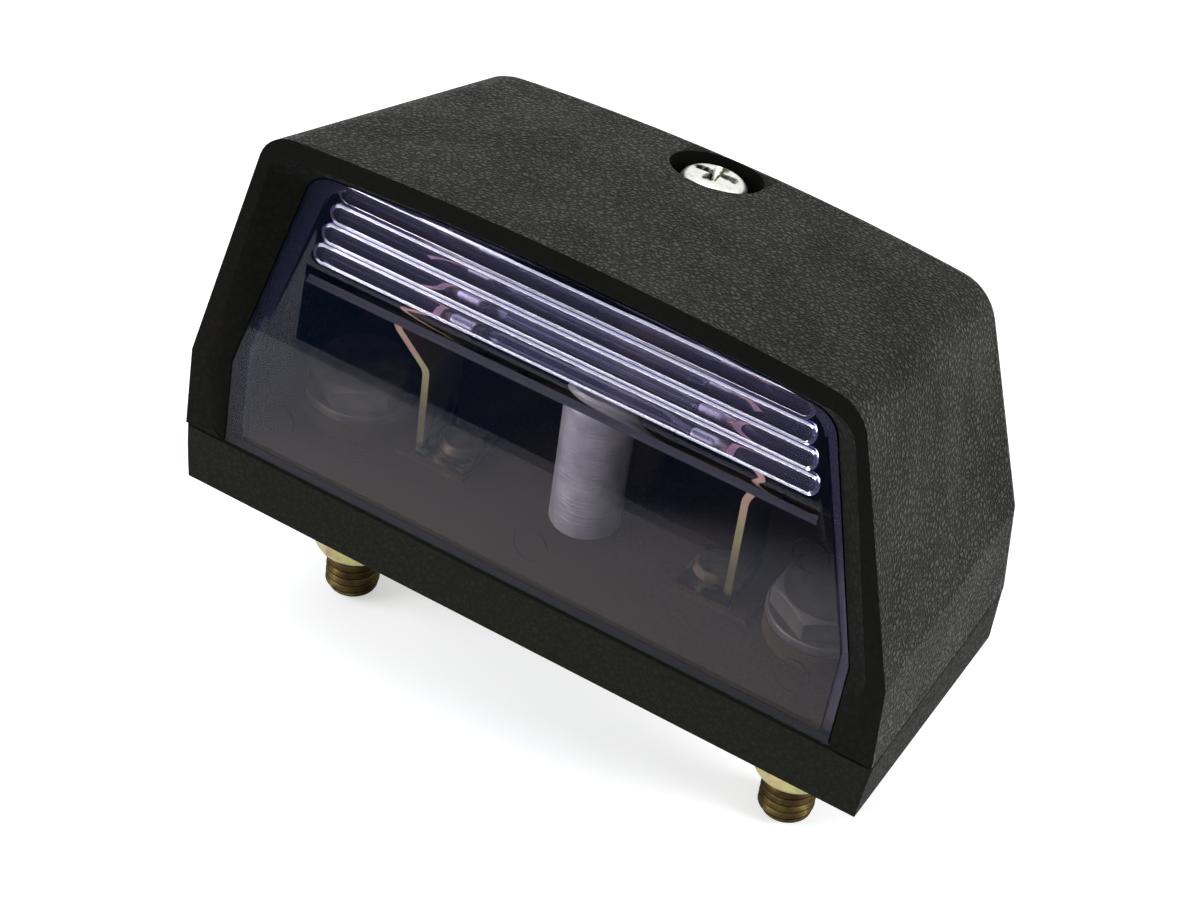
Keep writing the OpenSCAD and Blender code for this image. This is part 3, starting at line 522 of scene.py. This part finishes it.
# %% [markdown]
# The lens gets its finishes by place and direction, measured in its own leaning frame:
# y runs through the pane and z up along it.
# %% Ribbed lens
RIB_SKIN = 0.03 * MM
LEDGE_LOW, LEDGE_HIGH = 22.5 * MM, 23.1 * MM
EDGE_SIDE = 27.9 * MM
EDGE_TOP = 35.2 * MM
lens = copy_of("lens", "ribbed_lens")
for row in range(RIB_COUNT):
    rib = rib_capsule(row)
    apply_modifier(lens, "BOOLEAN", object=rib, operation="UNION", solver="MANIFOLD")
    bpy.data.objects.remove(rib)
only(lens)
bpy.ops.object.shade_smooth_by_angle(angle=math.radians(30))
apply_modifier(lens, "WEIGHTED_NORMAL", keep_sharp=True, weight=100)
lens.data.materials.clear()
for finish in lens_finishes:
    lens.data.materials.append(finish)
to_pane = LENS_PLACE.inverted()
for face in lens.data.polygons:
    spot = to_pane @ face.center
    out = to_pane.to_3x3() @ face.normal
    above_low = spot.z - RIB_LOW
    from_rib = min(math.hypot(spot.y - PANE, above_low - RIB_PITCH * row) for row in range(RIB_COUNT))
    at_edge = spot.y < PANE or abs(spot.x) > EDGE_SIDE or spot.z > EDGE_TOP
    if spot.y > PANE + 0.02 * MM and from_rib < RIB_RADIUS + RIB_SKIN and abs(spot.x) < RIB_END:
        face.material_index = 1
    # The underside of the step takes the painted glint.
    elif out.z < -0.9 and LEDGE_LOW < spot.z < LEDGE_HIGH:
        face.material_index = 3
    # Edge faces take the painted shade.
    elif abs(out.y) < 0.5 and at_edge:
        face.material_index = 2
lens.visible_shadow = lens.visible_diffuse = False
hand_over(lens, None, "lens_clear", "lens")

# %% [markdown]
# ## Plated metal
# Most of the small parts are steel with a thin zinc plating. Passivated zinc is yellow
# and shifts between straw, green and pink from place to place, and a thread that has
# been handled is browner. The parts inside the lamp get a darker, less metallic zinc.
# Fine blotches and a little grime keep the metal from looking like a mirror.
# %% Metals
GRIT = 0.35


def plated(name, stops, patch_mm, roughness, grime="#4a4236", metallic=1):
    """Metal whose colour wanders over patches of patch_mm, with grime in the low spots."""
    material, tree, shader, mm = blank_material(name)
    patches = add_node(tree, "ShaderNodeTexNoise", {"Vector": mm}, {"Scale": 1 / patch_mm, "Detail": 4})
    grit = add_node(tree, "ShaderNodeTexNoise", {"Vector": mm}, {"Scale": 1 / GRIT, "Detail": 3})
    tone = add_node(tree, "ShaderNodeValToRGB", {"Fac": patches.outputs[0]})
    set_stops(tone, stops)
    dirt = add_node(tree, "ShaderNodeMapRange", {"Value": grit.outputs[0]},
                    {"From Min": 0.58, "From Max": 0.8, "To Max": 0.7})
    colour = add_node(tree, "ShaderNodeMix", {0: dirt.outputs[0], 6: tone.outputs[0]}, {7: linear(grime)},
                      data_type="RGBA")
    dull = add_node(tree, "ShaderNodeMapRange", {"Value": grit.outputs[0]},
                    {"To Min": roughness - 0.06, "To Max": roughness + 0.16})
    bump = add_node(tree, "ShaderNodeBump", {"Height": grit.outputs[0]},
                    {"Strength": 0.5, "Distance": 0.012 * MM})
    tree.links.new(colour.outputs[2], shader.inputs["Base Color"])
    tree.links.new(dull.outputs[0], shader.inputs["Roughness"])
    tree.links.new(bump.outputs[0], shader.inputs["Normal"])
    shader.inputs["Metallic"].default_value = metallic
    return material


stud_zinc = plated("brown gold passivated zinc",
                   [(0.3, "#2e2518"), (0.5, "#40341e"), (0.7, "#574d2c")], 1.8, 0.5)
# A darker, less metallic zinc for the parts inside the lamp.
dull_zinc = plated("darker passivated zinc",
                   [(0.3, "#39352b"), (0.5, "#48433a"), (0.7, "#57523f")], 2.5, 0.5, metallic=0.5)
yellow_zinc = plated("pale yellow passivated zinc",
                     [(0.3, "#92926a"), (0.45, "#b0ad76"), (0.6, "#b2a472"), (0.72, "#a0877a")], 2.2, 0.36)
old_brass = plated("oxidised brass", [(0.3, "#3a3226"), (0.7, "#574b33")], 1.6, 0.55)
brass = plated("stamped brass", [(0.3, "#a98c46"), (0.7, "#d2b468")], 2.5, 0.32)
nickel = plated("nickel plated brass", [(0.3, "#b7b4aa"), (0.7, "#d6d3ca")], 2, 0.25, "#80796c")
tungsten = plated("drawn tungsten wire", [(0.3, "#5b5957"), (0.7, "#77746f")], 0.6, 0.4, "#3a3836")
metals = (stud_zinc, dull_zinc, yellow_zinc, old_brass, brass, nickel, tungsten)
print("metals:", [metal.name for metal in metals])

# %% [markdown]
# ## Studs
# Each stud is a six-sided bolt: its head rests on a washer inside the lamp, and its
# thread of one millimetre pitch comes out below. The head is the CAD copy, cut off at
# the underside of the base. The thread is a zigzag line that the Screw modifier winds
# up by more turns than are needed. Both ends are then cut level and closed, and the
# lowest crests are drawn in to a chamfer.
# %% Wound thread
PITCH = 1 * MM
CREST = 3 * MM
ROOT = 2.5 * MM
FLANK = 2.85 * MM


def wound_thread(name, top, bottom, chamfer):
    """A closed threaded rod from bottom to top on the Z axis, chamfered at its lower end."""
    bpy.ops.mesh.primitive_plane_add(size=PITCH)
    rod = bpy.context.object
    rod.name = name
    bpy.ops.object.mode_set(mode="EDIT")
    bpy.ops.mesh.select_mode(type="VERT")
    bpy.ops.mesh.select_all(action="SELECT")
    bpy.ops.mesh.merge(type="CENTER")
    profile = [(ROOT, 0), (ROOT, 0.08), (FLANK, 0.32), (CREST, 0.45),
               (CREST, 0.57), (FLANK, 0.7), (ROOT, 0.94), (ROOT, 1)]
    for _ in profile[1:]:
        bpy.ops.mesh.extrude_region_move(TRANSFORM_OT_translate={"value": (PITCH, 0, 0)})
    bpy.ops.object.mode_set(mode="OBJECT")
    for vertex, (radius, rise) in zip(rod.data.vertices, profile):
        vertex.co = (radius, 0, bottom + (rise - 2) * PITCH)
    turns = math.ceil((top - bottom) / PITCH) + 3
    apply_modifier(rod, "SCREW", angle=math.radians(360), screw_offset=PITCH, iterations=turns, steps=48,
                   render_steps=48, use_merge_vertices=True, merge_threshold=1e-6, use_smooth_shade=True)
    only(rod)
    bpy.ops.object.mode_set(mode="EDIT")
    bpy.ops.mesh.select_all(action="SELECT")
    bpy.ops.mesh.remove_doubles(threshold=1e-6)
    for level, way in ((bottom, 1), (top, -1)):
        bpy.ops.mesh.select_all(action="SELECT")
        bpy.ops.mesh.bisect(plane_co=(0, 0, level), plane_no=(0, 0, way), clear_inner=True, use_fill=True,
                            threshold=1e-7)
    bpy.ops.object.mode_set(mode="OBJECT")
    for vertex in rod.data.vertices:
        x, y, z = vertex.co
        most = CREST - max(0, chamfer - (z - bottom))
        shrink = min(1, most / math.hypot(x, y)) if math.hypot(x, y) > ROOT / 2 else 1
        vertex.co = (x * shrink, y * shrink, z)
    bpy.ops.object.mode_set(mode="EDIT")
    bpy.ops.mesh.select_all(action="SELECT")
    bpy.ops.mesh.normals_make_consistent(inside=False)
    bpy.ops.object.mode_set(mode="OBJECT")
    bpy.ops.object.shade_smooth_by_angle(angle=math.radians(70))
    return rod


print("the thread is", round((CREST - ROOT) / MM, 2), "mm deep")

# %% Stud heads and threads
HEAD_CUT = 0.5 * MM
STUD_END = -19.6 * MM
STUD_CHAMFER = 0.8 * MM


def join(pieces, name):
    """Joins several pieces into one with the given name."""
    bpy.ops.object.select_all(action="DESELECT")
    for piece in pieces:
        piece.select_set(True)
    bpy.context.view_layer.objects.active = pieces[0]
    bpy.ops.object.join()
    pieces[0].name = name
    return pieces[0]


for side, x in (("left", -STUD_X), ("right", STUD_X)):
    head = copy_of("stud_" + side, "bolt_head_" + side)
    bpy.ops.object.mode_set(mode="EDIT")
    bpy.ops.mesh.select_all(action="SELECT")
    bpy.ops.mesh.bisect(plane_co=(0, 0, HEAD_CUT), plane_no=(0, 0, 1), clear_inner=True, use_fill=True)
    bpy.ops.object.mode_set(mode="OBJECT")
    soften(head, 0.12, 20)
    rod = wound_thread("thread_" + side, HEAD_CUT, STUD_END, STUD_CHAMFER)
    rod.data.transform(Matrix.Translation((x, 0, 0)))
    head.data.materials.append(dull_zinc)
    rod.data.materials.append(stud_zinc)
    stud = join([head, rod], "bolt_" + side)
    hand_over(stud, None, "stud_zinc", "stud_" + side)

# %% [markdown]
# ## Washers and lock nuts
# Under each head lies a flat washer, and below the panel runs a nut with a round
# collar that grips a nylon ring. They are stamped and formed parts with clearly
# broken edges, so the dressed copies get a wider bevel.
# %% Washers, nuts and rings
nylon, tree, shader, mm = blank_material("moulded natural nylon")
milk = add_node(tree, "ShaderNodeTexNoise", {"Vector": mm}, {"Scale": 1 / 1.5, "Detail": 2})
tone = add_node(tree, "ShaderNodeValToRGB", {"Fac": milk.outputs[0]})
set_stops(tone, [(0.3, "#d5dad6"), (0.7, "#e8ebe8")])
tree.links.new(tone.outputs[0], shader.inputs["Base Color"])
shader.inputs["Roughness"].default_value = 0.42
shader.inputs["Subsurface Weight"].default_value = 0.3
shader.inputs["Subsurface Scale"].default_value = 0.6 * MM

for side in ("left", "right"):
    washer = copy_of("stud_washer_" + side, "washer_" + side)
    soften(washer, 0.2, 40, 3)
    hand_over(washer, dull_zinc, "yellow_zinc", "stud_washer_" + side)
    nut = copy_of("lock_nut_" + side, "collar_nut_" + side)
    soften(nut, 0.1, 30)
    hand_over(nut, yellow_zinc, "yellow_zinc", "lock_nut_" + side)
    ring = copy_of("nut_ring_" + side, "grip_ring_" + side)
    soften(ring, 0.1, 40)
    hand_over(ring, nylon, "nylon", "nut_ring_" + side)

# %% [markdown]
# ## The cover screw
# A pan head with a cross recess, zinc plated. The recess is a star of two tapered
# slots, so a box is narrowed at its lower end and cut out of a turned head twice, the
# second time with a quarter turn. The recess and the head along its arms are painted
# dark as painted shade. The finish is laid out in the screw's own frame, where x and y
# run across the head.
# %% Finish of the screw
screw_zinc, tree, shader, mm = blank_material("zinc plated screw steel")
seat = add_node(tree, "ShaderNodeMapping", {"Vector": mm},
                {"Location": tuple(-(Matrix.Rotation(ROOF_SLOPE, 3, "X") @ (SCREW_SEAT / MM))),
                 "Rotation": (ROOF_SLOPE, 0, 0)})
apart = add_node(tree, "ShaderNodeSeparateXYZ", {0: seat.outputs[0]})
stain = add_node(tree, "ShaderNodeTexNoise", {"Vector": mm}, {"Scale": 1 / 0.7, "Detail": 5})
along = add_node(tree, "ShaderNodeMath", {0: apart.outputs[0]}, operation="ABSOLUTE")
across = add_node(tree, "ShaderNodeMath", {0: apart.outputs[1]}, operation="ABSOLUTE")
from_arm = add_node(tree, "ShaderNodeMath", {0: along.outputs[0], 1: across.outputs[0]},
                    operation="MINIMUM")
from_axis = add_node(tree, "ShaderNodeMath", {0: along.outputs[0], 1: across.outputs[0]},
                     operation="MAXIMUM")
near_arm = add_node(tree, "ShaderNodeMapRange", {"Value": from_arm.outputs[0]},
                    {"From Min": 0.3, "From Max": 1.2, "To Min": 1, "To Max": 0})
inside = add_node(tree, "ShaderNodeMapRange", {"Value": from_axis.outputs[0]},
                  {"From Min": 2.2, "From Max": 3, "To Min": 1, "To Max": 0})
cross = add_node(tree, "ShaderNodeMath", {0: near_arm.outputs[0], 1: inside.outputs[0]},
                 operation="MULTIPLY")
both = add_node(tree, "ShaderNodeMath", {0: stain.outputs[0], 1: cross.outputs[0]}, operation="MULTIPLY")
# The recess and the head along its arms are painted dark: painted shade.
painted_recess_shade = add_node(tree, "ShaderNodeMapRange", {"Value": both.outputs[0]}, {"From Min": 0.28, "From Max": 0.45})
tone = add_node(tree, "ShaderNodeValToRGB", {"Fac": stain.outputs[0]})
set_stops(tone, [(0.3, "#d9dad4"), (0.55, "#f2f3ee"), (0.75, "#c9c8b0")])
colour = add_node(tree, "ShaderNodeMix", {0: painted_recess_shade.outputs[0], 6: tone.outputs[0]}, {7: linear("#3a3a22")},
                  data_type="RGBA")
dull = add_node(tree, "ShaderNodeMapRange", {"Value": stain.outputs[0]}, {"To Min": 0.22, "To Max": 0.42})
tree.links.new(colour.outputs[2], shader.inputs["Base Color"])
tree.links.new(dull.outputs[0], shader.inputs["Roughness"])
shader.inputs["Metallic"].default_value = 1
print("the screw leans back by", round(math.degrees(ROOF_SLOPE), 1), "degrees")

# %% Screw and insert
HEAD_RADIUS = 3.6 * MM
HEAD_HEIGHT = 2.9 * MM
HEAD_ROUNDING = 1.7 * MM
SHANK_RADIUS = 1.75 * MM
SHANK_LENGTH = 10 * MM
SCREW_DEPTH = 3 * MM
SLOT_LENGTH, SLOT_WIDTH, SLOT_DEPTH = 5 * MM, 1.1 * MM, 2.2 * MM
SLOT_TURN = 10


def recess_slot(turn):
    """A slot cutter, tapered towards its floor, through the top of the head."""
    bpy.ops.mesh.primitive_cube_add(size=1)
    cutter = bpy.context.object
    cutter.scale = (SLOT_LENGTH, SLOT_WIDTH, SLOT_DEPTH)
    bpy.ops.object.transform_apply(location=True, rotation=True, scale=True)
    for vertex in cutter.data.vertices:
        if vertex.co.z < 0:
            vertex.co.x *= 0.35
            vertex.co.y *= 0.6
    up = Matrix.Translation((0, 0, SLOT_DEPTH))
    cutter.data.transform(Matrix.Rotation(math.radians(turn), 4, "Z") @ up)
    return cutter


bpy.ops.mesh.primitive_cylinder_add(vertices=64, radius=HEAD_RADIUS, depth=HEAD_HEIGHT,
                                    location=(0, 0, HEAD_HEIGHT / 2))
screw = bpy.context.object
bpy.ops.object.transform_apply(location=True, rotation=True, scale=True)
bpy.ops.object.mode_set(mode="EDIT")
bpy.ops.mesh.select_all(action="DESELECT")
bpy.ops.object.mode_set(mode="OBJECT")
for edge in screw.data.edges:
    ends = [screw.data.vertices[i].co.z for i in edge.vertices]
    edge.select = min(ends) > HEAD_HEIGHT - 0.1 * MM
bpy.ops.object.mode_set(mode="EDIT")
bpy.ops.mesh.select_mode(type="EDGE")
bpy.ops.mesh.bevel(offset=HEAD_ROUNDING, segments=8, profile=0.5)
bpy.ops.mesh.select_mode(type="FACE")
bpy.ops.mesh.select_all(action="DESELECT")
bpy.ops.object.mode_set(mode="OBJECT")
for face in screw.data.polygons:
    face.select = face.normal.z < -0.9
bpy.ops.object.mode_set(mode="EDIT")
bpy.ops.mesh.inset(thickness=HEAD_RADIUS - SHANK_RADIUS)
bpy.ops.mesh.extrude_region_move(TRANSFORM_OT_translate={"value": (0, 0, -SHANK_LENGTH)})
bpy.ops.object.mode_set(mode="OBJECT")
for turn in (SLOT_TURN, SLOT_TURN + 90):
    cutter = recess_slot(turn)
    apply_modifier(screw, "BOOLEAN", object=cutter, operation="DIFFERENCE", solver="EXACT")
    bpy.data.objects.remove(cutter)
screw.data.transform(SCREW_PLACE @ Matrix.Translation((0, 0, -SCREW_DEPTH)))
soften(screw, 0.07, 35)
screw.name = "pan_screw"
hand_over(screw, screw_zinc, "bright_zinc", "cover_screw")
insert = copy_of("screw_insert", "threaded_insert")
soften(insert, 0.1, 40)
hand_over(insert, brass, "brass", "screw_insert")

# %% [markdown]
# ## Contacts, rivets and terminals
# The bulb sits between two strips of spring bronze. Heat has tarnished them: pinkish
# copper near the bulb and greenish yellow lower down, so the colour follows height.
# %% Finish of the strips
TARNISH_LOW, TARNISH_HIGH = 8, 34
TARNISH_WANDER = 14
bronze, tree, shader, mm = blank_material("tarnished spring bronze")
apart = add_node(tree, "ShaderNodeSeparateXYZ", {0: mm})
blotch = add_node(tree, "ShaderNodeTexNoise", {"Vector": mm}, {"Scale": 1 / 2.2, "Detail": 4})
wander = add_node(tree, "ShaderNodeMath", {0: blotch.outputs[0]}, {1: TARNISH_WANDER, 2: -TARNISH_WANDER / 2},
                  operation="MULTIPLY_ADD")
height = add_node(tree, "ShaderNodeMath", {0: apart.outputs[2], 1: wander.outputs[0]}, operation="ADD")
share = add_node(tree, "ShaderNodeMapRange", {"Value": height.outputs[0]},
                 {"From Min": TARNISH_LOW, "From Max": TARNISH_HIGH})
tone = add_node(tree, "ShaderNodeValToRGB", {"Fac": share.outputs[0]})
# Below about 8 mm up, at the feet, the strips are darker.
set_stops(tone, [(0, "#3d3626"), (0.12, "#9d9868"), (0.4, "#aaa070"), (0.6, "#b98f80"), (0.9, "#c09a90")])
dull = add_node(tree, "ShaderNodeMapRange", {"Value": blotch.outputs[0]}, {"To Min": 0.3, "To Max": 0.5})
tree.links.new(tone.outputs[0], shader.inputs["Base Color"])
tree.links.new(dull.outputs[0], shader.inputs["Roughness"])
shader.inputs["Metallic"].default_value = 1
print("tarnish changes between", TARNISH_LOW, "and", TARNISH_HIGH, "mm up")

# %% [markdown]
# The strips are bent from flat stock, so each bend is round. The CAD copy has straight
# corners there. An edge is a bend if it runs across the strip and its two faces meet
# at a shallow angle, and a wide bevel rounds it.
# %% Strips, rivets and terminals
BEND_REACH = 0.58


def round_bends(strip, reach):
    """Rounds the bends of a strip over reach millimetres to both sides."""
    only(strip)
    mesh = strip.data
    faces_at = {}
    for face in mesh.polygons:
        for pair in face.edge_keys:
            faces_at.setdefault(pair, []).append(face.normal)
    bpy.ops.object.mode_set(mode="EDIT")
    bpy.ops.mesh.select_mode(type="EDGE")
    bpy.ops.mesh.select_all(action="DESELECT")
    bpy.ops.object.mode_set(mode="OBJECT")
    for edge in mesh.edges:
        one, two = (mesh.vertices[i].co for i in edge.vertices)
        normals = faces_at[tuple(sorted(edge.vertices))]
        level = abs((one - two).normalized().y) > 0.99
        edge.select = level and len(normals) == 2 and 12 < math.degrees(normals[0].angle(normals[1])) < 80
    bpy.ops.object.mode_set(mode="EDIT")
    bpy.ops.mesh.bevel(offset=reach * MM, segments=6, profile=0.5, clamp_overlap=False)
    bpy.ops.object.mode_set(mode="OBJECT")


for side in ("left", "right"):
    strip = copy_of("contact_" + side, "spring_strip_" + side)
    round_bends(strip, BEND_REACH)
    soften(strip, 0.15, 12)
    hand_over(strip, bronze, "contact_bronze", "contact_" + side)
    rivet = copy_of("contact_rivet_" + side, "rivet_" + side)
    soften(rivet, 0.2, 30, 3)
    hand_over(rivet, old_brass, "brass", "contact_rivet_" + side)
    blade = copy_of("terminal_" + side, "blade_" + side)
    soften(blade, 0.12, 30)
    hand_over(blade, brass, "brass", "terminal_" + side)

# %% [markdown]
# ## The bulb
# A festoon bulb: a clear glass tube, a pointed metal cap at each end, and a coiled
# wire along the axis. Blown glass is never quite even, which a wide, low swirl gives.
# %% Bulb
clear_glass, tree, shader, mm = blank_material("blown clear glass")
swirl = add_node(tree, "ShaderNodeTexNoise", {"Vector": mm}, {"Scale": 1 / 3, "Detail": 1})
bump = add_node(tree, "ShaderNodeBump", {"Height": swirl.outputs[0]},
                {"Strength": 0.3, "Distance": 0.05 * MM})
tree.links.new(bump.outputs[0], shader.inputs["Normal"])
shader.inputs["Base Color"].default_value = linear("#fbfdfd")
shader.inputs["Roughness"].default_value = 0
shader.inputs["Transmission Weight"].default_value = 1
shader.inputs["IOR"].default_value = 1.5
tube = copy_of("bulb_glass", "bulb_tube")
only(tube)
bpy.ops.object.shade_smooth_by_angle(angle=math.radians(40))
tube.visible_shadow = tube.visible_diffuse = False
hand_over(tube, clear_glass, "bulb_glass", "bulb_glass")
for side in ("left", "right"):
    cap = copy_of("bulb_cap_" + side, "cap_" + side)
    soften(cap, 0.25, 30, 3)
    hand_over(cap, nickel, "cap_nickel", "bulb_cap_" + side)

# %% [markdown]
# The wire is a small circle that the Screw modifier winds up to a coil, and a thicker
# straight lead runs through it to both caps. They are made upright, joined, and then
# laid along the bulb.
# %% Wound filament
COIL_RADIUS = 0.56 * MM
COIL_START = -4 * MM
COIL_PITCH = 0.4 * MM
COIL_TURNS = 20
WIRE_RADIUS = 0.13 * MM
LEAD_RADIUS = 0.2 * MM
LEAD_LENGTH = 30 * MM


def wire_ring(radius, centre):
    """A small circle in the X-Z plane, ready to be wound round the Z axis."""
    bpy.ops.mesh.primitive_circle_add(vertices=8, radius=radius, location=centre,
                                      rotation=(math.radians(90), 0, 0))
    ring = bpy.context.object
    bpy.ops.object.transform_apply(location=True, rotation=True, scale=True)
    return ring


coil = wire_ring(WIRE_RADIUS, (COIL_RADIUS, 0, COIL_START))
apply_modifier(coil, "SCREW", angle=math.radians(360), screw_offset=COIL_PITCH, iterations=COIL_TURNS,
               steps=16, render_steps=16, use_merge_vertices=True, merge_threshold=1e-7)
leads = wire_ring(LEAD_RADIUS, (0, 0, 0))
leads.data.transform(Matrix.Rotation(math.radians(90), 4, "X"))
bpy.ops.object.mode_set(mode="EDIT")
bpy.ops.mesh.select_all(action="SELECT")
bpy.ops.mesh.extrude_region_move(TRANSFORM_OT_translate={"value": (0, 0, LEAD_LENGTH)})
bpy.ops.object.mode_set(mode="OBJECT")
leads.data.transform(Matrix.Translation((0, 0, -LEAD_LENGTH / 2)))
wire = join([coil, leads], "filament_wire")
bpy.ops.object.mode_set(mode="EDIT")
bpy.ops.mesh.select_all(action="DESELECT")
bpy.ops.mesh.select_mode(type="EDGE")
bpy.ops.mesh.select_non_manifold(extend=False)
bpy.ops.mesh.fill_holes(sides=0)
bpy.ops.mesh.select_all(action="SELECT")
bpy.ops.mesh.normals_make_consistent(inside=False)
bpy.ops.object.mode_set(mode="OBJECT")
wire.data.transform(Matrix.Translation((0, 0, BULB_Z)) @ Matrix.Rotation(math.radians(90), 4, "Y"))
bpy.ops.object.shade_smooth_by_angle(angle=math.radians(50))
hand_over(wire, tungsten, "tungsten", "bulb_filament")
